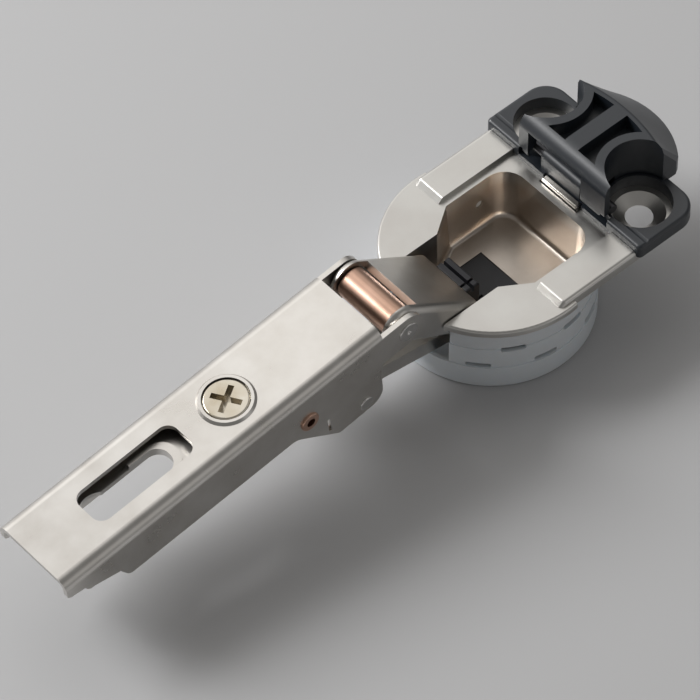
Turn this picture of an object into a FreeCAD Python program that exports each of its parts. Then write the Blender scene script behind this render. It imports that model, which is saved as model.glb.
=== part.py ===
import FreeCAD, Part
import math
import os

os.makedirs("parts", exist_ok=True)

V = FreeCAD.Vector

# Frame: origin on the cup axis at the bottom of the cup, X towards the arm,
# Y along the pivot pins, Z up out of the flange. The hinge is modelled fully open.
# Heights below count from a plane inside the ring, ring_foot above its bottom;
# save() raises every piece by ring_foot, so that the bottom lies at zero.

# White ring, from the standard 35 mm bore
bore_r = 17.5
ring_r = bore_r - 0.1
ring_wall = 1.0
ring_foot = 1.2
ring_pan = 1.0
ring_seat = 0.15
ring_edge = 0.8
ring_in_r = ring_r - ring_wall
ring_floor = ring_pan - ring_foot
band_z = 8.2
band_step = 0.4
lip_h = 3.8
lip_step = 0.25
slit_len = 4.2
slit_h = 0.9
slit_rows = (4.3, 8.1)
slit_first = 41.0
slit_pitch = 18.9

# Sheet steel cup and its flange
sheet = 1.2
flange_under = 12.8
flange_top = flange_under + sheet
disc_r = 18.2
wing_rise = 1.0
wing_top = flange_top + wing_rise
wing_y = 17.35
wing_in_y = 11.6
wing_front = 0.0
wing_back = -15.35
tail_x = -29.0
tail_corner = 4.2
wall = 1.0
floor_z = 4.0
wedge_t = 1.0
wedge_gap = 0.7
wedge_y = 4.2
wedge_play = 0.25
wedge_top = 14.5
wedge_low = 2.2
wedge_out = ring_in_r - wedge_gap
wedge_in = wedge_out - wedge_t
ring_gap = 0.3
pocket_y = 10.5
pocket_back = wall + wedge_gap - wedge_in
pocket_draft = 0.7
pocket_foot = 0.9
slot_y = 7.2
diag_in = (0.2, pocket_y)
diag_out = (5.2, slot_y)
cheek_x = math.sqrt((ring_in_r - ring_gap) ** 2 - (slot_y + wall) ** 2)
opening_x0 = -3.1
opening_y = 5.6
peep_x = -6.8
peep_z = 9.0
peep_r = 0.75

# Screw holes behind the cup
screw_x = -22.1
screw_y = 11.0
screw_r = 2.3
sink_r = 4.35
lug_bore_r = 5.4
lug_rim = 0.45

# Black lug plate and locking lever
lug_t = 2.6
lug_top = flange_top + lug_t
lug_y = 18.1
lug_front = -15.4
bed_t = 0.9
lever_gap = 0.3
lever_top = 25.0
lever_front = -15.1
lever_y = 10.05
lever_bite = lug_bore_r + lug_rim + 0.1
lever_x = -17.3
lever_z = 17.4
lever_nose = lever_front - lever_x
lever_pin_r = 0.9
lever_low = flange_top + bed_t + lever_gap
belly_z = 18.6
belly = (-31.0, -31.9, 9.5, -35.3)
crown = (-26.5, -27.2, 9.6, -28.7)
lever_soft = 0.7
lever_brow = 3.0
lever_relief = 1.3
lever_rise = 0.9
pit_front = -17.1
pit_depth = 2.7
pit_edge = 0.8
pit_bite = 1.5
rib_y = 1.5
arch_x = -20.2
arch_top = 22.4
arch_y = (-7.9, 4.4)
knuckle_y = (-5.6, 3.4)
knuckle_x = (-19.6, -15.95)
knuckle_rise = 1.6

# Pivots in the side view, X and Z
pa = (10.0, 9.0)
pb = (11.0, 5.0)
pc = (25.1, 20.2)
pd = (33.9, 9.45)
pin_r = 1.2
run_gap = 0.04
arm_pin_r = 0.9

# Arm, drawn flat and then tilted about its front top edge
arm_at = (30.6, 24.4)
arm_tilt = 6.56
arm_len = 65.2
arm_y = 8.0
arm_t = 0.9
arm_bend = 2.0
arm_depth = 9.8
skirt_low = 16.6
ear_r = 3.2
slot_a0 = 34.3
slot_a1 = 54.2
slot_w = 7.0
slot_corner = 2.0
head_a = 25.4
head_r = 3.75
rivet_a = 16.1
rivet_u = -7.55
rivet_r = 1.25

# Links
link_gap = 0.1
link_y = arm_y - arm_t - link_gap
link_t = 1.2
link_c_r = 3.6
link_a_r = 2.6
link_back = (9.0, 12.79)
web_short = 2.0
roller_r = 2.8
roller_gap = 0.2
inner_y = 4.5
inner_t = 0.9
inner_half = 1.5
eye_half = 1.9


def box(x0, x1, y0, y1, z0, z1):
    return Part.makeBox(x1 - x0, y1 - y0, z1 - z0, V(x0, y0, z0))


def rod_y(x, z, r, y0, y1):
    return Part.makeCylinder(r, y1 - y0, V(x, y0, z), V(0, 1, 0))


def rod_z(x, y, r, z0, z1):
    return Part.makeCylinder(r, z1 - z0, V(x, y, z0), V(0, 0, 1))


def loop(points, at):
    # A closed wire with rounded corners; each point is u, v and a corner radius.
    n = len(points)
    ends = []
    arcs = {}
    for i in range(n):
        u, v, r = points[i]
        pu, pv = points[i - 1][:2]
        nu, nv = points[(i + 1) % n][:2]
        a = V(pu - u, pv - v, 0).normalize()
        b = V(nu - u, nv - v, 0).normalize()
        if r <= 0:
            ends.append((V(u, v, 0), V(u, v, 0)))
            continue
        half = a.getAngle(b) / 2
        back = r / math.tan(half)
        t0 = V(u, v, 0) + a * back
        t1 = V(u, v, 0) + b * back
        mid_dir = (a + b).normalize()
        mid = V(u, v, 0) + mid_dir * (r / math.sin(half) - r)
        arcs[i] = Part.Arc(at(t0), at(mid), at(t1)).toShape()
        ends.append((t0, t1))
    path = []
    for i in range(n):
        if i in arcs:
            path.append(arcs[i])
        p = ends[i][1]
        q = ends[(i + 1) % n][0]
        if (p - q).Length > 1e-6:
            path.append(Part.makeLine(at(p), at(q)))
    return Part.Wire(path)


def side(points, y0, y1):
    wire = loop(points, lambda p: V(p.x, y0, p.y))
    return Part.Face(wire).extrude(V(0, y1 - y0, 0))


def plan(points, z0, z1):
    wire = loop(points, lambda p: V(p.x, p.y, z0))
    return Part.Face(wire).extrude(V(0, 0, z1 - z0))


def mirror_y(shape):
    return shape.mirror(V(0, 0, 0), V(0, 1, 0))


def both(shape):
    return shape.fuse(mirror_y(shape))


def tidy(shape):
    return shape.removeSplitter()


def tilted(shape):
    s = shape.copy()
    s.rotate(V(0, 0, 0), V(0, 1, 0), arm_tilt)
    s.translate(V(arm_at[0], 0, arm_at[1]))
    return s


def flat(world):
    # The place of a world point in the arm's own flat drawing
    t = math.radians(arm_tilt)
    dx = world[0] - arm_at[0]
    dz = world[1] - arm_at[1]
    return (dx * math.cos(t) - dz * math.sin(t), dx * math.sin(t) + dz * math.cos(t))


def soften(shape, size, test):
    edges = [e for e in shape.Edges if test(e) and not e.Degenerated]
    return shape.makeFillet(size, edges)


def save(name, shape):
    s = shape.copy()
    s.translate(V(0, 0, ring_foot))
    s.exportStep("parts/%s.step" % name)


def at_z(edge, z):
    return abs(edge.BoundBox.ZMin - z) < 0.01 and abs(edge.BoundBox.ZMax - z) < 0.01


# White expanding ring with a closed bottom

def make_ring():
    top = flange_under + ring_seat
    outer = rod_z(0, 0, ring_r, -ring_foot, top)
    outer = soften(outer, ring_edge, lambda e: at_z(e, -ring_foot))
    body = outer.cut(rod_z(0, 0, ring_in_r, ring_floor, top + 1))
    for z, step in ((lip_h, lip_step), (band_z, band_step)):
        skin = rod_z(0, 0, ring_r + 1, z, top + 1).cut(rod_z(0, 0, ring_r - step, z - 1, top + 2))
        body = body.cut(skin)
    body = body.cut(box(5, ring_r + 5, -slot_y, slot_y, lip_h, top + 1))
    angle = slit_first
    row = 0
    while angle < 360 - slit_first + 1:
        z = slit_rows[row % 2]
        slit = box(ring_in_r - 1, ring_r + 1, -slit_len / 2, slit_len / 2, z - slit_h / 2, z + slit_h / 2)
        slit = soften(slit, slit_h * 0.4, lambda e: abs(e.BoundBox.XLength - ring_wall - 2) < 0.01)
        slit.rotate(V(0, 0, 0), V(0, 0, 1), angle)
        body = body.cut(slit)
        angle += slit_pitch
        row += 1
    return tidy(body)


# Pressed steel cup and flange

def corner_inside(x, y, r):
    # The corner radius with which a corner at x, y just stays inside a circle of radius r
    s = x + y - r
    return s - math.sqrt(s * s - (x * x + y * y - r * r))


pocket_corner = corner_inside(wall - pocket_back, pocket_y + wall, ring_in_r - ring_gap) - wall


def pocket_loop(grow, z):
    # Plan outline of the pocket, drafted towards the floor
    k = (flange_top - z) / (flange_top - floor_z)
    d = grow - pocket_draft * k
    out_y = slot_y + max(grow, 0)
    pts = [
        (pocket_back - d, -pocket_y - d, pocket_corner + d),
        (diag_in[0] + d * 0.4, -diag_in[1] - d, 0),
        (diag_out[0] + d * 0.4, -out_y, 0),
        (cheek_x, -out_y, 0),
        (cheek_x, out_y, 0),
        (diag_out[0] + d * 0.4, out_y, 0),
        (diag_in[0] + d * 0.4, diag_in[1] + d, 0),
        (pocket_back - d, pocket_y + d, pocket_corner + d),
    ]
    return loop(pts, lambda p: V(p.x, p.y, z))


def wedge_slot(z0, z1):
    half = wedge_y + wedge_play
    return box(-wedge_out - wedge_play, wedge_play - wedge_in, -half, half, z0, z1)


def make_cup():
    under = floor_z - wall
    shell = Part.makeLoft([pocket_loop(wall, flange_top - 0.3), pocket_loop(wall, under)], True, True)
    inside = Part.makeLoft([pocket_loop(0, flange_top + 0.5), pocket_loop(0, floor_z)], True, True)
    shell = soften(shell, pocket_foot + wall * 0.7, lambda e: at_z(e, under))
    inside = soften(inside, pocket_foot, lambda e: at_z(e, floor_z) and e.CenterOfMass.x < cheek_x - 0.5)
    shell = shell.cut(inside)
    shell = shell.cut(box(opening_x0, cheek_x + 5, -opening_y, opening_y, 0, floor_z + 1))

    lobes = rod_z(0, 0, disc_r, flange_under, flange_top)
    lobes = soften(lobes, 0.35, lambda e: at_z(e, flange_top))
    lobes = lobes.cut(box(-30, -2, -30, 30, 0, 30))
    tail = plan([(tail_x, -wing_y, tail_corner), (-1, -wing_y, 0), (-1, wing_y, 0), (tail_x, wing_y, tail_corner)],
                flange_under, flange_top)
    wing = side([(wing_back, flange_under + 0.3, 0), (wing_front + 0.9, flange_under + 0.3, 0),
                 (wing_front + 0.9, flange_top, 0), (wing_front, wing_top, 0.5),
                 (wing_back, wing_top, 0)], wing_in_y, wing_y)
    wing = soften(wing, 0.7, lambda e: abs(e.CenterOfMass.y - wing_y) < 0.01 and e.CenterOfMass.z > flange_top
                  and e.BoundBox.XLength > 10)
    hollow = box(wing_back + sheet, wing_front - 0.4, wing_in_y + sheet, wing_y - sheet, 0, wing_top - sheet)

    plate = lobes.fuse(tail).fuse(wing).fuse(mirror_y(wing))
    plate = plate.cut(hollow).cut(mirror_y(hollow))
    plate = plate.cut(inside)
    plate = plate.cut(box(diag_out[0] + 0.2, 40, -slot_y, slot_y, 0, 40))
    # shallow seat under the flange for the top of the ring
    plate = plate.cut(rod_z(0, 0, ring_r + 0.1, flange_under - 1, flange_under + ring_seat))
    body = plate.fuse(shell)

    for s in (-1, 1):
        body = body.cut(rod_z(screw_x, s * screw_y, screw_r, 0, 30))
        body = body.cut(Part.makeCone(screw_r, sink_r, sheet, V(screw_x, s * screw_y, flange_under + 0.001)))
    body = body.cut(wedge_slot(flange_under - 0.5, 20))
    body = body.cut(Part.makeCylinder(peep_r, 4, V(peep_x, -8.5, peep_z), V(0, -1, 0)))
    for x, z in (pa, pb):
        body = body.cut(rod_y(x, z, pin_r + 0.02, -12, 12))
    return tidy(body)


# Stub rivets of the outer link and the through pin of the inner link

cheek_out = slot_y + wall


def make_stubs():
    shank = rod_y(pa[0], pa[1], pin_r, link_y - link_t - 0.3, cheek_out)
    head = rod_y(pa[0], pa[1], 1.9, cheek_out, cheek_out + 0.5)
    head = soften(head, 0.3, lambda e: abs(e.CenterOfMass.y - cheek_out - 0.5) < 0.01)
    stub = shank.fuse(head)
    return Part.makeCompound([stub, mirror_y(stub)])


def make_inner_pin():
    cap = rod_y(pb[0], pb[1], 1.7, cheek_out, cheek_out + 0.5)
    return tidy(rod_y(pb[0], pb[1], pin_r, -cheek_out, cheek_out).fuse(cap).fuse(mirror_y(cap)))


# Damper: black housing in the floor opening, its plunger and its cylinder

plunger_x0 = 5.8
plunger_x1 = 8.7
plunger_y = 3.6
plunger_top = 12.2
plunger_h = 4.6
plunger_gap = 0.2
house_top = 4.6
rail_top = 5.0


def make_house():
    low = ring_floor
    house = box(opening_x0 + 0.1, plunger_x0 - plunger_gap, -opening_y + 0.1, opening_y - 0.1, low, house_top)
    house = soften(house, 0.5, lambda e: at_z(e, house_top))
    rail = box(plunger_x0 - plunger_gap, plunger_x1 + 0.1, plunger_y + plunger_gap, opening_y - 0.1, low, rail_top)
    house = house.fuse(both(rail))
    house = house.cut(box(-2.2, 4.2, -1.6, 1.6, 1.4, 4.0))
    house = house.cut(box(3.0, 4.4, 1.2, 2.6, 4.2, 5))
    return tidy(house)


def make_piston():
    piston = Part.makeCylinder(1.2, 5.6, V(-1.8, 0, 2.7), V(1, 0, 0))
    return soften(piston, 0.3, lambda e: e.BoundBox.XLength < 0.01)


def make_plunger():
    body = box(plunger_x0, plunger_x1, -plunger_y, plunger_y, plunger_top - plunger_h, plunger_top)
    body = soften(body, 0.35, lambda e: at_z(e, plunger_top))
    body = body.cut(box(plunger_x0 + 1.15, plunger_x0 + 1.75, -plunger_y - 1, plunger_y + 1,
                        plunger_top - 1.1, plunger_top + 1))
    return body.cut(box(plunger_x0 - 1, plunger_x1 + 1, plunger_y - 1.6, plunger_y - 1.1,
                        plunger_top - 0.7, plunger_top + 1))


def make_wedge():
    body = box(-wedge_out, -wedge_in, -wedge_y, wedge_y, wedge_low, wedge_top)
    body = soften(body, 0.6, lambda e: abs(e.BoundBox.XLength - wedge_t) < 0.01 and e.CenterOfMass.z > wedge_top - 1)
    return body.cut(box(-wedge_out - 1, 1 - wedge_in, -1.6, 1.6, 4.0, 9.0))


# Black lug plate

def make_lug():
    outline = [(tail_x, -lug_y, tail_corner), (lug_front, -lug_y, 0.8),
               (lug_front, lug_y, 0.8), (tail_x, lug_y, tail_corner)]
    lug = plan(outline, flange_top, lug_top)
    lug = soften(lug, 0.6, lambda e: at_z(e, lug_top))
    lug = lug.cut(box(lug_front - 60, lug_front + 1, -lever_y - lever_gap, lever_y + lever_gap,
                      flange_top + bed_t, lug_top + 1))
    for s in (-1, 1):
        lug = lug.fuse(rod_z(screw_x, s * screw_y, lug_bore_r + lug_rim, flange_top, lug_top))
    for s in (-1, 1):
        lug = lug.cut(rod_z(screw_x, s * screw_y, lug_bore_r, 0, 40))
    kx0, kx1 = knuckle_x
    knuckle = side([(kx0, flange_top + 0.2, 0), (kx1, flange_top + 0.2, 0), (kx1, lever_z + knuckle_rise, 1.2),
                    (kx0, lever_z + knuckle_rise, 1.2)], *knuckle_y)
    lug = lug.fuse(knuckle).cut(rod_y(lever_x, lever_z, lever_pin_r, -20, 20))
    return tidy(lug.cut(wedge_slot(0, 40)))


# Locking lever

def lever_wire(shape, z):
    x_side, x_end, y_end, x_back = shape
    p0 = V(lever_front, -lever_y, z)
    p1 = V(x_side, -lever_y, z)
    p2 = V(x_end, -y_end, z)
    p3 = V(x_end, y_end, z)
    p4 = V(x_side, lever_y, z)
    p5 = V(lever_front, lever_y, z)
    back = Part.Arc(p2, V(x_back, 0, z), p3).toShape()
    return Part.Wire([Part.makeLine(p0, p1), Part.makeLine(p1, p2), back,
                      Part.makeLine(p3, p4), Part.makeLine(p4, p5), Part.makeLine(p5, p0)])


def make_lever():
    low = Part.Face(lever_wire(belly, lever_low)).extrude(V(0, 0, belly_z - lever_low))
    high = Part.makeLoft([lever_wire(belly, belly_z), lever_wire(crown, lever_top)], True, True)
    body = tidy(low.fuse(high))
    body = soften(body, lever_soft, lambda e: at_z(e, lever_top))
    # round brow over the front face, which keeps clear of the closed arm when lifted
    brow_x = lever_front - lever_brow
    brow_z = lever_top - lever_brow
    brow = box(brow_x, lever_front + 1, -20, 20, brow_z, lever_top + 1)
    body = body.cut(brow.cut(rod_y(brow_x, brow_z, lever_brow, -20, 20)))
    # bites for the screws, wider near the lug plate so that the lever can turn
    for s in (-1, 1):
        body = body.cut(rod_z(screw_x, s * screw_y, lever_bite, 0, 40))
        relief = rod_z(screw_x, s * screw_y, lever_bite + lever_relief, 0, lug_top + lever_rise)
        body = body.cut(relief.common(box(screw_x, 0, -30, 30, 0, 40)))
    # the back end lifts clear of the plate
    body = body.cut(box(-40, tail_x + 0.2, -20, 20, 0, flange_top + 1.5))
    # the nose rounds about the pin
    corner = box(lever_x, lever_front + 1, -20, 20, 0, lever_z)
    body = body.cut(corner.cut(rod_y(lever_x, lever_z, lever_nose, -20, 20)))
    # two pockets in the top, split by the rib
    front, end, y_end, back = crown
    rim = lever_wire((front, end + pit_edge, y_end - pit_edge, back + pit_edge), lever_top - pit_depth)
    pits = Part.Face(rim).extrude(V(0, 0, 10))
    pits = pits.common(box(-60, pit_front, pit_edge - lever_y, lever_y - pit_edge, 0, 60))
    pits = pits.cut(box(-60, 0, -rib_y, rib_y, 0, 60))
    for s in (-1, 1):
        pits = pits.cut(rod_z(screw_x, s * screw_y, lever_bite + pit_bite, 0, 60))
    body = body.cut(pits)
    # arch in the front face and the space for the knuckle
    arch = side([(arch_x, 0, 0), (0, 0, 0), (0, arch_top, 0), (arch_x, arch_top, 2.5)], *arch_y)
    body = body.cut(arch)
    # hollow under the back
    body = body.cut(box(-32.0, arch_x - 0.7, -3.4, 3.4, 0, lever_top - pit_depth - 1.5))
    body = body.cut(rod_y(lever_x, lever_z, lever_pin_r + run_gap, -20, 20))
    return tidy(body)


def make_lever_pin():
    pin = rod_y(lever_x, lever_z, lever_pin_r, 0.15 - lever_y, lever_y - 0.15)
    return soften(pin, 0.2, lambda e: e.BoundBox.YLength < 0.01)


# Outer link: a bent channel with two ears

def unit(u, v):
    n = math.hypot(u, v)
    return u / n, v / n


def make_outer_link():
    # the straight back of the channel touches the big ear round the front pin
    back = link_back
    dist = math.hypot(pc[0] - back[0], pc[1] - back[1])
    lean = math.atan2(pc[1] - back[1], pc[0] - back[0]) + math.asin(link_c_r / dist)
    ux, uz = math.cos(lean), math.sin(lean)
    nx, nz = -uz, ux
    foot = (pc[0] + nx * link_c_r, pc[1] + nz * link_c_r)
    ax, az = unit(pc[0] - pa[0], pc[1] - pa[1])
    heel_turn = math.radians(150)
    heel = (pa[0] + link_a_r * math.cos(heel_turn), pa[1] + link_a_r * math.sin(heel_turn))
    low_a = (pa[0] + az * link_a_r, pa[1] - ax * link_a_r)
    low_c = (pc[0] + az * link_c_r * 0.98, pc[1] - ax * link_c_r * 0.98)
    core = side([(back[0], back[1], 0.4), (foot[0], foot[1], 0), (pc[0], pc[1], 0), (low_c[0], low_c[1], 0),
                 (low_a[0], low_a[1], 0), (pa[0], pa[1], 0), (heel[0], heel[1], 0)], -link_y, link_y)
    solid = core.fuse(rod_y(pa[0], pa[1], link_a_r, -link_y, link_y))
    solid = tidy(solid.fuse(rod_y(pc[0], pc[1], link_c_r, -link_y, link_y)))
    solid = soften(solid, link_t, lambda e: abs(abs(e.CenterOfMass.y) - link_y) < 0.01
                   and e.BoundBox.XLength > 8 and e.CenterOfMass.z > 15)
    inner = link_y - link_t
    ears = solid.cut(box(-20, 60, -inner, inner, -20, 60))
    # web between the ears, shorter than them at the pin end and square at the other
    end = (foot[0] - ux * web_short, foot[1] - uz * web_short)
    strip = side([(back[0] + nx, back[1] + nz, 0), (end[0] + nx, end[1] + nz, 0),
                  (end[0] - nx * link_t, end[1] - nz * link_t, 0),
                  (back[0] - nx * link_t, back[1] - nz * link_t, 0)], -inner, inner)
    link = tidy(ears.fuse(solid.common(strip)))
    for x, z in (pa, pc):
        link = link.cut(rod_y(x, z, pin_r + run_gap, -20, 20))
    return link


def make_roller():
    half = link_y - link_t - roller_gap
    roller = rod_y(pc[0], pc[1], roller_r, -half, half)
    roller = soften(roller, 0.3, lambda e: e.BoundBox.YLength < 0.01)
    return roller.cut(rod_y(pc[0], pc[1], pin_r + run_gap, -20, 20))


# Pins with domed heads in the arm

def dome_pin(place, shank_r, head_r, head_h, y_out, dimple):
    shank = rod_y(place[0], place[1], shank_r, -y_out, y_out)
    head = rod_y(place[0], place[1], head_r, y_out, y_out + head_h)
    head = soften(head, head_h * 0.75, lambda e: abs(e.CenterOfMass.y - y_out - head_h) < 0.01)
    if dimple > 0:
        cone = Part.makeCone(dimple, 0, dimple, V(place[0], y_out + head_h, place[1]), V(0, -1, 0))
        head = head.cut(cone)
    return tidy(shank.fuse(head).fuse(mirror_y(head)))


# Inner link: two thin sides and a web, with an open eye at the arm end

def make_inner_link():
    dx = pd[0] - pb[0]
    dz = pd[1] - pb[1]
    length = math.hypot(dx, dz)
    turn = math.degrees(math.atan2(dz, dx))
    eye = eye_half + 0.6
    half = inner_half
    low = half - inner_t
    body = side([(0, -half, 0), (length - 4.5, -half, 0), (length - 2.5, -eye, 1.0), (length + 3.0, -eye, 2.0),
                 (length + 3.0, eye, 2.0), (length - 2.5, eye, 1.0), (length - 4.5, half, 0), (0, half, 0)],
                -inner_y, inner_y)
    body = body.fuse(rod_y(0, 0, 1.95, -inner_y, inner_y))
    body = body.cut(side([(-5, -6, 0), (length + 9, -6, 0), (length + 9, low, 0), (length - 4, low, 0),
                          (4.5, low, 0), (4.5, 9, 0), (-5, 9, 0)], inner_t - inner_y, inner_y - inner_t))
    body = body.cut(box(length - 4, length + 9, inner_t - inner_y, inner_y - inner_t, -9, 9))
    body = body.cut(rod_y(0, 0, pin_r + run_gap, -20, 20))
    slot = [(length + eye_back, -eye_half, 1.2), (length + eye_front, -eye_half, 1.2),
            (length + eye_front, eye_half, 1.2), (length + eye_back, eye_half, 1.2)]
    body = body.cut(side(slot, -20, 20))
    body.rotate(V(0, 0, 0), V(0, 1, 0), -turn)
    body.translate(V(pb[0], 0, pb[1]))
    return tidy(body)


eye_back = -1.75
eye_front = 2.1


def make_coil(coil_r, wire_r, pitch, turns):
    # A coil along Y, centred on the origin
    helix = Part.makeHelix(pitch, pitch * turns, coil_r)
    start = Part.makeCircle(wire_r, V(coil_r, 0, 0), V(0, coil_r, pitch / 2 / math.pi))
    coil = Part.Wire(helix.Edges).makePipeShell([Part.Wire(start)], True, True)
    coil.rotate(V(0, 0, 0), V(1, 0, 0), -90)
    coil.translate(V(0, -pitch * turns / 2, 0))
    return coil


def make_closing_spring():
    coil = make_coil(1.75, 0.28, 0.64, 9)
    coil.translate(V(pb[0], 0, pb[1]))
    return coil


# Arm, drawn flat: a runs along the arm, u up out of its plate

ca = flat(pc)
da = flat(pd)
nose_a = arm_len - 9.1


def make_arm():
    outer = box(-12, arm_len, -arm_y, arm_y, -20, 0)
    outer = soften(outer, arm_bend, lambda e: at_z(e, 0) and e.BoundBox.XLength > 20)
    inner = box(-13, arm_len + 1, arm_t - arm_y, arm_y - arm_t, -21, -arm_t)
    inner = soften(inner, arm_bend - arm_t, lambda e: at_z(e, -arm_t) and e.BoundBox.XLength > 20)
    tube = outer.cut(inner)
    outline = [(0, 0.5, 0), (arm_len, 0.5, 0), (arm_len + 0.1, -3.7, 1.0), (nose_a, -5.4, 1.5),
               (nose_a - 2.5, -arm_depth, 1.5), (19.0, -arm_depth, 3.0), (10.8, -skirt_low - 0.1, 1.2),
               (1.5, -skirt_low + 0.2, 2.6), (1.1, ca[1] - ear_r, 1.2), (ca[0], ca[1] - ear_r, 0),
               (ca[0], ca[1] + ear_r, 0), (0, ca[1] + ear_r, 0)]
    form = side(outline, -arm_y, arm_y)
    form = form.fuse(rod_y(ca[0], ca[1], ear_r, -arm_y, arm_y))
    body = tube.common(form)
    body = body.cut(box(-20, 0, arm_t - arm_y, arm_y - arm_t, -30, 10))
    half = slot_w / 2
    body = body.cut(plan([(slot_a0, -half, slot_corner), (slot_a1, -half, slot_corner),
                          (slot_a1, half, slot_corner), (slot_a0, half, slot_corner)], -4, 4))
    rim = Part.makeCone(head_r + 1.15, head_r + 0.7, 0.5, V(head_a, 0, -0.05))
    body = body.fuse(rim).cut(rod_z(head_a, 0, head_r + 0.2, -4, 4))
    body = body.cut(box(12.25, 12.75, -20, 20, 2.4 - skirt_low, 5.5 - skirt_low))
    for a, u, r in ((ca[0], ca[1], pin_r), (da[0], da[1], arm_pin_r), (rivet_a, rivet_u, rivet_r)):
        body = body.cut(rod_y(a, u, r + 0.01, -20, 20))
    return tidy(body)


# Tubular copper rivet on which the carriage tilts

def make_tilt_rivet():
    head = rod_y(rivet_a, rivet_u, rivet_r + 0.5, arm_y, arm_y + 0.4)
    head = soften(head, 0.25, lambda e: abs(e.CenterOfMass.y - arm_y - 0.4) < 0.01)
    rivet = rod_y(rivet_a, rivet_u, rivet_r, -arm_y, arm_y).fuse(head).fuse(mirror_y(head))
    return tidy(rivet.cut(rod_y(rivet_a, rivet_u, rivet_r - 0.45, -20, 20)))


# Carriage inside the arm
car_y = arm_y - arm_t - 0.25
car_top = -2.7
car_t = 0.9
car_a0 = rivet_a - 2.9
car_a1 = arm_len - 4.1
latch_a = arm_len - 8.6
latch_u = -6.4
latch_pin_r = 0.8


def make_carriage():
    low = rivet_u - 2.25
    tube = box(car_a0, car_a1, -car_y, car_y, low - 1, car_top)
    tube = soften(tube, 1.2, lambda e: at_z(e, car_top) and e.BoundBox.XLength > 20)
    tube = tube.cut(box(0, 80, car_t - car_y, car_y - car_t, -20, car_top - car_t))
    form = side([(car_a0, 0, 0), (car_a1, 0, 0), (car_a1, latch_u - 0.8, 1.0), (latch_a - 2, low + 0.6, 1.0),
                 (19.0, low + 0.6, 1.0), (18.0, low, 1.0), (car_a0, low, 2.0)], -car_y, car_y)
    body = tube.common(form)
    key = plan([(37.5, -2.6, 2.4), (52.5, -2.6, 2.4), (52.5, 2.6, 2.4), (37.5, 2.6, 2.4)], -9, 4)
    key = key.fuse(rod_z(51.7, 0, 3.5, -9, 4))
    lip = plan([(36.0, -3.3, 3.1), (46.0, -3.3, 3.1), (46.0, 3.3, 3.1), (36.0, 3.3, 3.1)],
               car_top - 0.2, car_top + 0.8)
    lip = lip.cut(box(43.5, 60, -10, 10, -9, 9))
    body = body.fuse(lip).cut(key)
    body = body.cut(rod_z(head_a, 0, 3.0, -12, 4))
    body = body.cut(rod_y(rivet_a, rivet_u, rivet_r + run_gap, -20, 20))
    body = body.cut(rod_y(latch_a, latch_u, latch_pin_r + 0.01, -20, 20))
    return tidy(body)


# Side screw with a cross recess, its head turns in the arm

def make_screw():
    head = rod_z(head_a, 0, head_r, -0.9, 0.35)
    head = soften(head, 0.3, lambda e: at_z(e, 0.35))
    collar = rod_z(head_a, 0, head_r + 1.45, -1.9, -arm_t - 0.05)
    neck = rod_z(head_a, 0, head_r, -1.5, -0.5)
    shank = rod_z(head_a, 0, 2.2, -7.6, -1.5)
    body = head.fuse(collar).fuse(neck).fuse(shank)
    for k in range(3):
        body = body.cut(Part.makeTorus(2.45, 0.55, V(head_a, 0, -3.9 - k * 1.1)))
    blade = box(head_a - 2.6, head_a + 2.6, -0.5, 0.5, -1.3, 1)
    cross = blade.copy()
    cross.rotate(V(head_a, 0, 0), V(0, 0, 1), 90)
    tool = blade.fuse(cross)
    tool.rotate(V(head_a, 0, 0), V(0, 0, 1), 30)
    return tidy(body.cut(tool))


# Rear clip latch in the carriage with its pin and spring
latch_y = car_y - car_t - 0.25
latch_t = 0.8


def make_latch():
    a = latch_a
    u = latch_u
    outline = [(a - 2.2, u + 1.2, 1.0), (a + 6.4, u + 1.5, 0.5), (a + 6.4, u - 1.6, 1.2), (a + 3.6, u - 1.8, 0.4),
               (a + 3.2, u - 3.4, 0.6), (a + 1.6, u - 3.4, 0.6), (a + 1.4, u - 2.0, 0.4), (a - 2.2, u - 1.8, 1.0)]
    body = side(outline, -latch_y, latch_y)
    body = body.cut(box(a - 17, a + 5.6, latch_t - latch_y, latch_y - latch_t, -20, 0))
    body = body.cut(rod_y(a, u, latch_pin_r + run_gap, -20, 20))
    return tidy(body)


def make_latch_spring():
    coil = make_coil(1.3, 0.22, 0.6, 9)
    coil.translate(V(latch_a, 0, latch_u))
    return coil


save("cup_steel", make_cup())
save("cup_ring", make_ring())
save("link_stub_rivets", make_stubs())
save("inner_link_pin", make_inner_pin())
save("damper_housing", make_house())
save("damper_cylinder", make_piston())
save("damper_plunger", make_plunger())
save("ring_wedge", make_wedge())
save("lug_plate", make_lug())
save("locking_lever", make_lever())
save("lever_pin", make_lever_pin())
save("outer_link", make_outer_link())
save("copper_roller", make_roller())
save("front_pin", dome_pin(pc, pin_r, 1.85, 0.3, arm_y, 0.5))
save("inner_link", make_inner_link())
save("closing_spring", make_closing_spring())
save("arm", tilted(make_arm()))
save("arm_rivet", tilted(dome_pin(da, arm_pin_r, 1.35, 0.35, arm_y, 0)))
save("tilt_rivet", tilted(make_tilt_rivet()))
save("carriage", tilted(make_carriage()))
save("side_screw", tilted(make_screw()))
save("rear_latch", tilted(make_latch()))
save("latch_pin", tilted(rod_y(latch_a, latch_u, latch_pin_r, -car_y, car_y)))
save("latch_spring", tilted(make_latch_spring()))
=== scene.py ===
import math

import bmesh
import bpy
from mathutils import Matrix, Vector


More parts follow.
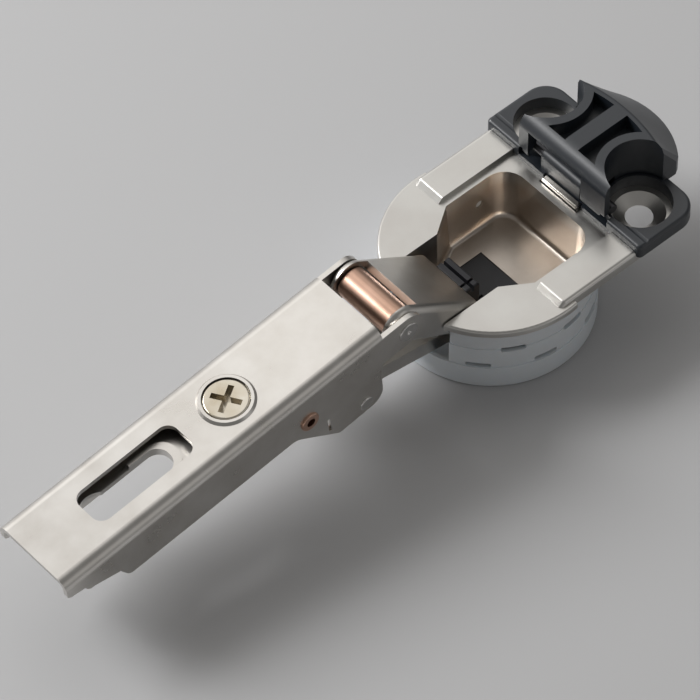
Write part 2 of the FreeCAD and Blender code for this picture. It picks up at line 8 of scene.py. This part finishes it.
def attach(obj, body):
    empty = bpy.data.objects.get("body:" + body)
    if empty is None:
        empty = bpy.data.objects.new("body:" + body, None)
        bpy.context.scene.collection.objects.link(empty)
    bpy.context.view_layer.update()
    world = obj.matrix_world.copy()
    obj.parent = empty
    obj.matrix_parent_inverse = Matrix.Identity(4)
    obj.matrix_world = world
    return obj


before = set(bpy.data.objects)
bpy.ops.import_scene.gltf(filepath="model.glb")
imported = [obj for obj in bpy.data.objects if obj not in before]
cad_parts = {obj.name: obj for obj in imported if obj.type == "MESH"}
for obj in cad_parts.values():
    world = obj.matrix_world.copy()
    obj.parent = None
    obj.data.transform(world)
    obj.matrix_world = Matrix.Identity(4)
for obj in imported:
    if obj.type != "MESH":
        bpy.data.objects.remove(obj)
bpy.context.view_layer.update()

MM = 0.001

# Camera, as fitted to the photograph
PICTURE_PX = 700
SENSOR_MM = 36.0
FOCAL_PX = 6171.0
CAM_AZIMUTH = math.radians(48.51)
CAM_ELEVATION = math.radians(52.12)
CAM_ROLL = math.radians(-0.24)
CAM_DISTANCE = 983.2 * MM
CAM_TARGET = Vector((26.49, -4.18, 6.2)) * MM
CAM_CLIP = 0.05

# Fine grain and larger clouds of the finishes, as noise scales, and the height of their bumps in metres
METAL_GRAIN = 1500.0
METAL_CLOUD = 160.0
CUP_CLOUD = 110.0
PLASTIC_GRAIN = 2200.0
PLASTIC_CLOUD = 120.0
NOISE_ROUGH = 0.55
METAL_BUMP = 0.00002
METAL_BUMP_STRENGTH = 0.25
PLASTIC_BUMP_STRENGTH = 0.3
METAL_ROUGH = 0.3

# Heights between which the pocket's painted shade and painted warm reflection fade into the flange's tone,
# in metres
POCKET_SHADE_TOP = 0.0118
FLANGE_UNDER = 0.0146

# White end of the rivet in the pocket's wall, in metres
PLUG_AT = (-0.0068, -0.0106, 0.0102)
PLUG_R = 0.00078
PLUG_RISE = 0.00035
DOME_REACH = 0.94

# Folded top of the ring's steel slide, in metres
TAB_LOW = (-0.01585, -0.0041, 0.0152)
TAB_HIGH = (-0.0146, 0.0041, 0.01612)
TAB_EDGE = 0.0003

# Floor in metres, and the sky round the studio
FLOOR_SIZE = 1.6
FLOOR_TONE = (0.50, 0.50, 0.505)
SKY_LEVEL = 0.20
SKY_TONE = (1.0, 0.985, 0.965)
# Each soft patch of the sky has its direction, the angles where it is full and gone, and its strength
SKY_PATCHES = (
    ((-0.37, -0.50, 0.78), 12, 40, 0.52),
    ((-0.40, 0.79, 0.46), 6, 26, 0.32),
    ((0.10, -0.95, 0.30), 15, 60, 0.60),
)


def new_material(name, rough, metal, tone):
    material = bpy.data.materials.new(name)
    material.use_nodes = True
    shader = shader_of(material)
    shader.inputs["Base Color"].default_value = (*tone, 1.0)
    shader.inputs["Roughness"].default_value = rough
    shader.inputs["Metallic"].default_value = metal
    return material


def shader_of(material):
    return material.node_tree.nodes["Principled BSDF"]


def node_at(owner, kind, **values):
    node = owner.node_tree.nodes.new(kind)
    for key, value in values.items():
        setattr(node, key, value)
    return node


def link(owner, source, target):
    owner.node_tree.links.new(source, target)


def object_noise(material, scale, detail):
    place = node_at(material, "ShaderNodeTexCoord")
    noise = node_at(material, "ShaderNodeTexNoise")
    noise.inputs["Scale"].default_value = scale
    noise.inputs["Detail"].default_value = detail
    noise.inputs["Roughness"].default_value = NOISE_ROUGH
    link(material, place.outputs["Object"], noise.inputs["Vector"])
    return noise.outputs["Fac"]


def ramp(material, source, stops):
    node = node_at(material, "ShaderNodeValToRGB")
    for element, (at, colour) in zip(node.color_ramp.elements, stops):
        element.position = at
        element.color = (*colour, 1.0)
    link(material, source, node.inputs["Fac"])
    return node.outputs["Color"]


def grey_range(material, source, low, high):
    node = node_at(material, "ShaderNodeMapRange")
    node.inputs["To Min"].default_value = low
    node.inputs["To Max"].default_value = high
    link(material, source, node.inputs["Value"])
    return node.outputs["Result"]


def vary_rough(material, source, low, high):
    link(material, grey_range(material, source, low, high), shader_of(material).inputs["Roughness"])


def add_bump(material, source, height, strength):
    bump = node_at(material, "ShaderNodeBump")
    bump.inputs["Distance"].default_value = height
    bump.inputs["Strength"].default_value = strength
    link(material, source, bump.inputs["Height"])
    link(material, bump.outputs["Normal"], shader_of(material).inputs["Normal"])


def height_mix(material, z_low, z_high):
    # Nothing below z_low, rising to one at z_high
    place = node_at(material, "ShaderNodeTexCoord")
    split = node_at(material, "ShaderNodeSeparateXYZ")
    link(material, place.outputs["Object"], split.inputs["Vector"])
    rise = node_at(material, "ShaderNodeMapRange", interpolation_type="SMOOTHSTEP")
    rise.inputs["From Min"].default_value = z_low
    rise.inputs["From Max"].default_value = z_high
    link(material, split.outputs["Z"], rise.inputs["Value"])
    return rise.outputs["Result"]


def colour_sockets(sockets):
    return [socket for socket in sockets if socket.type == "RGBA"]


def mixed(material, factor, below, above):
    mix = node_at(material, "ShaderNodeMix", data_type="RGBA")
    link(material, factor, mix.inputs["Factor"])
    into_below, into_above = colour_sockets(mix.inputs)
    link(material, below, into_below)
    link(material, above, into_above)
    return colour_sockets(mix.outputs)[0]


def satin_nickel(name, dark, light, rough_low, rough_high):
    material = new_material(name, METAL_ROUGH, 1.0, light)
    cloud = object_noise(material, METAL_CLOUD, 4.0)
    colour = ramp(material, cloud, ((0.3, dark), (0.7, light)))
    link(material, colour, shader_of(material).inputs["Base Color"])
    vary_rough(material, cloud, rough_low, rough_high)
    grain = object_noise(material, METAL_GRAIN, 2.0)
    add_bump(material, grain, METAL_BUMP, METAL_BUMP_STRENGTH)
    return material


def cup_nickel():
    # Frosted nickel on the flange; inside the drawn pocket a darker, browner tone that is painted shade and
    # painted warm reflection of the recess
    material = new_material("cup_nickel", METAL_ROUGH, 1.0, (0.66, 0.64, 0.61))
    cloud = object_noise(material, CUP_CLOUD, 4.0)
    top = ramp(material, cloud, ((0.3, (0.63, 0.61, 0.58)), (0.7, (0.70, 0.69, 0.66))))
    # Painted shade and warm reflection: the darker, browner tone used inside the pocket
    pocket_shade = ramp(material, cloud, ((0.35, (0.50, 0.44, 0.385)), (0.65, (0.61, 0.55, 0.49))))
    height = height_mix(material, POCKET_SHADE_TOP, FLANGE_UNDER)
    link(material, mixed(material, height, pocket_shade, top), shader_of(material).inputs["Base Color"])
    vary_rough(material, cloud, 0.25, 0.36)
    grain = object_noise(material, METAL_GRAIN, 2.0)
    add_bump(material, grain, METAL_BUMP, METAL_BUMP_STRENGTH)
    return material


def plastic(name, tone, rough, grain_height, specular=0.5):
    material = new_material(name, rough, 0.0, tone)
    shader_of(material).inputs["Specular IOR Level"].default_value = specular
    grain = object_noise(material, PLASTIC_GRAIN, 2.0)
    add_bump(material, grain, grain_height, PLASTIC_BUMP_STRENGTH)
    cloud = object_noise(material, PLASTIC_CLOUD, 3.0)
    vary_rough(material, cloud, rough * 0.8, rough * 1.2)
    return material


def ring_plastic():
    # Milky plastic that lets a little light through
    material = plastic("ring_plastic", (0.70, 0.75, 0.80), 0.36, 0.00001)
    shader = shader_of(material)
    shader.inputs["Subsurface Weight"].default_value = 0.4
    shader.inputs["Subsurface Radius"].default_value = (0.004, 0.005, 0.006)
    shader.inputs["Subsurface Scale"].default_value = 0.5
    return material


NICKEL = satin_nickel("satin_nickel", (0.60, 0.575, 0.54), (0.70, 0.68, 0.65), 0.24, 0.34)
CUP = cup_nickel()
WARM = satin_nickel("bright_slide", (0.66, 0.62, 0.56), (0.78, 0.75, 0.70), 0.22, 0.3)
PIN = satin_nickel("bright_pin", (0.62, 0.61, 0.59), (0.74, 0.73, 0.71), 0.16, 0.26)
COPPER = satin_nickel("copper_plate", (0.54, 0.34, 0.25), (0.67, 0.44, 0.34), 0.24, 0.34)
# Painted shade: near-black tone on the lever pin, standing for the shade under the lever's brow
LEVER_PIN_SHADE = satin_nickel("lever_pin_painted_shade", (0.06, 0.06, 0.065), (0.10, 0.10, 0.105), 0.35, 0.45)
SPRING = satin_nickel("spring_wire", (0.30, 0.30, 0.30), (0.42, 0.42, 0.42), 0.3, 0.4)
SCREW = satin_nickel("worn_zinc", (0.50, 0.44, 0.34), (0.72, 0.69, 0.62), 0.22, 0.38)
BLACK = plastic("black_plastic", (0.010, 0.014, 0.020), 0.38, 0.00002, 0.85)
SLATE = plastic("damper_plastic", (0.008, 0.008, 0.011), 0.42, 0.00002)
RING = ring_plastic()
SPOT = plastic("hole_white", (0.86, 0.86, 0.84), 0.4, 0.00001)

LOOKS = {
    "cup_steel": CUP, "cup_ring": RING, "link_stub_rivets": PIN, "inner_link_pin": PIN,
    "damper_housing": SLATE, "damper_cylinder": PIN, "damper_plunger": SLATE, "ring_wedge": WARM,
    "lug_plate": BLACK, "locking_lever": BLACK, "lever_pin": LEVER_PIN_SHADE, "outer_link": NICKEL,
    "copper_roller": COPPER, "front_pin": PIN, "inner_link": NICKEL, "closing_spring": SPRING,
    "arm": NICKEL, "arm_rivet": PIN, "tilt_rivet": COPPER, "carriage": NICKEL,
    "side_screw": SCREW, "rear_latch": NICKEL, "latch_pin": PIN, "latch_spring": SPRING,
}
for name, look in LOOKS.items():
    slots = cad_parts[name].data.materials
    slots.clear()
    slots.append(look)


def place_piece(name, mesh, material, body):
    mesh.shade_smooth()
    mesh.materials.append(material)
    piece = bpy.data.objects.new(name, mesh)
    bpy.context.collection.objects.link(piece)
    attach(piece, body)


def disc_piece(name, centre, normal, radius, rise, material, body):
    # A low domed disc facing along normal
    rings, around = 5, 40
    points = []
    for i in range(rings):
        t = i / (rings - 1)
        r = radius * math.cos(t * math.pi / 2 * DOME_REACH)
        h = rise * math.sin(t * math.pi / 2)
        for k in range(around):
            a = 2 * math.pi * k / around
            points.append((r * math.cos(a), r * math.sin(a), h))
    faces = []
    for low in range(0, (rings - 1) * around, around):
        high = low + around
        for k in range(around):
            n = (k + 1) % around
            faces.append((low + k, low + n, high + n, high + k))
    faces.append(range((rings - 1) * around, rings * around))
    faces.append(range(around - 1, -1, -1))
    mesh = bpy.data.meshes.new(name)
    turn = Vector(normal).to_track_quat("Z", "Y").to_matrix().to_4x4()
    place = Matrix.Translation(Vector(centre)) @ turn
    mesh.from_pydata([place @ Vector(q) for q in points], [], faces)
    place_piece(name, mesh, material, body)


def rounded_bar(name, low, high, edge, material, body):
    # A bar between two corners with rounded edges
    mesh = bpy.data.meshes.new(name)
    bm = bmesh.new()
    bmesh.ops.create_cube(bm, size=1.0)
    for v in bm.verts:
        v.co = [low[i] if v.co[i] < 0 else high[i] for i in range(3)]
    bmesh.ops.bevel(bm, geom=list(bm.edges), offset=edge, segments=4, profile=0.5, affect="EDGES")
    bm.to_mesh(mesh)
    bm.free()
    place_piece(name, mesh, material, body)


def make_floor(size, z):
    mesh = bpy.data.meshes.new("floor")
    h = size / 2
    mesh.from_pydata([(-h, -h, z), (h, -h, z), (h, h, z), (-h, h, z)], [], [(0, 1, 2, 3)])
    floor = bpy.data.objects.new("floor", mesh)
    bpy.context.collection.objects.link(floor)
    mesh.materials.append(new_material("floor_pale", 0.9, 0.0, FLOOR_TONE))


def area_lamp(name, aim, direction, distance, size, power, tone):
    lamp = bpy.data.lights.new(name, "AREA")
    lamp.shape = "RECTANGLE"
    lamp.size, lamp.size_y = size
    lamp.energy = power
    lamp.color = tone
    obj = bpy.data.objects.new(name, lamp)
    way = Vector(direction).normalized()
    obj.location = Vector(aim) + way * distance
    obj.rotation_euler = way.to_track_quat("Z", "Y").to_euler()
    bpy.context.collection.objects.link(obj)


def light_patch(world, way, direction, full, none, strength):
    # A soft bright patch of the studio round one direction
    dot = node_at(world, "ShaderNodeVectorMath", operation="DOT_PRODUCT")
    dot.inputs[1].default_value = Vector(direction).normalized()
    link(world, way, dot.inputs[0])
    reach = node_at(world, "ShaderNodeMapRange", interpolation_type="SMOOTHSTEP")
    reach.inputs["From Min"].default_value = math.cos(math.radians(none))
    reach.inputs["From Max"].default_value = math.cos(math.radians(full))
    reach.inputs["To Max"].default_value = strength
    link(world, dot.outputs["Value"], reach.inputs["Value"])
    return reach.outputs["Result"]


def make_world(base, tone, patches):
    world = bpy.data.worlds.new("studio")
    world.use_nodes = True
    way = node_at(world, "ShaderNodeTexCoord").outputs["Generated"]
    total = None
    for patch in patches:
        value = light_patch(world, way, *patch)
        add = node_at(world, "ShaderNodeMath", operation="ADD")
        if total:
            link(world, total, add.inputs[0])
        else:
            add.inputs[0].default_value = base
        link(world, value, add.inputs[1])
        total = add.outputs[0]
    back = world.node_tree.nodes["Background"]
    back.inputs["Color"].default_value = (*tone, 1.0)
    link(world, total, back.inputs["Strength"])
    bpy.context.scene.world = world


def make_camera():
    data = bpy.data.cameras.new("photo_camera")
    data.sensor_width = SENSOR_MM
    data.lens = FOCAL_PX / PICTURE_PX * SENSOR_MM
    data.clip_start = CAM_CLIP
    camera = bpy.data.objects.new("photo_camera", data)
    level = math.cos(CAM_ELEVATION)
    toward = Vector((level * math.cos(CAM_AZIMUTH), level * math.sin(CAM_AZIMUTH), math.sin(CAM_ELEVATION)))
    turn = toward.to_track_quat("Z", "Y").to_matrix().to_4x4() @ Matrix.Rotation(CAM_ROLL, 4, "Z")
    camera.matrix_world = Matrix.Translation(CAM_TARGET + toward * CAM_DISTANCE) @ turn
    bpy.context.collection.objects.link(camera)
    bpy.context.scene.camera = camera


disc_piece("side_hole_plug", PLUG_AT, (0.0, 1.0, 0.0), PLUG_R, PLUG_RISE, SPOT, "cup")
rounded_bar("slide_tab", TAB_LOW, TAB_HIGH, TAB_EDGE, WARM, "wedge")
make_floor(FLOOR_SIZE, 0.0)
make_world(SKY_LEVEL, SKY_TONE, SKY_PATCHES)
area_lamp("key", aim=CAM_TARGET, direction=(0.55, -1.0, 0.78), distance=0.9,
          size=(0.4, 0.4), power=7.5, tone=(1.0, 1.0, 1.0))
area_lamp("arm_glow", aim=(0.045, 0.0, 0.024), direction=(-0.217, -0.460, 0.861), distance=0.25,
          size=(0.05, 0.14), power=0.010, tone=(1.0, 0.98, 0.94))
make_camera()

view = bpy.context.scene.view_settings
view.view_transform = "Standard"
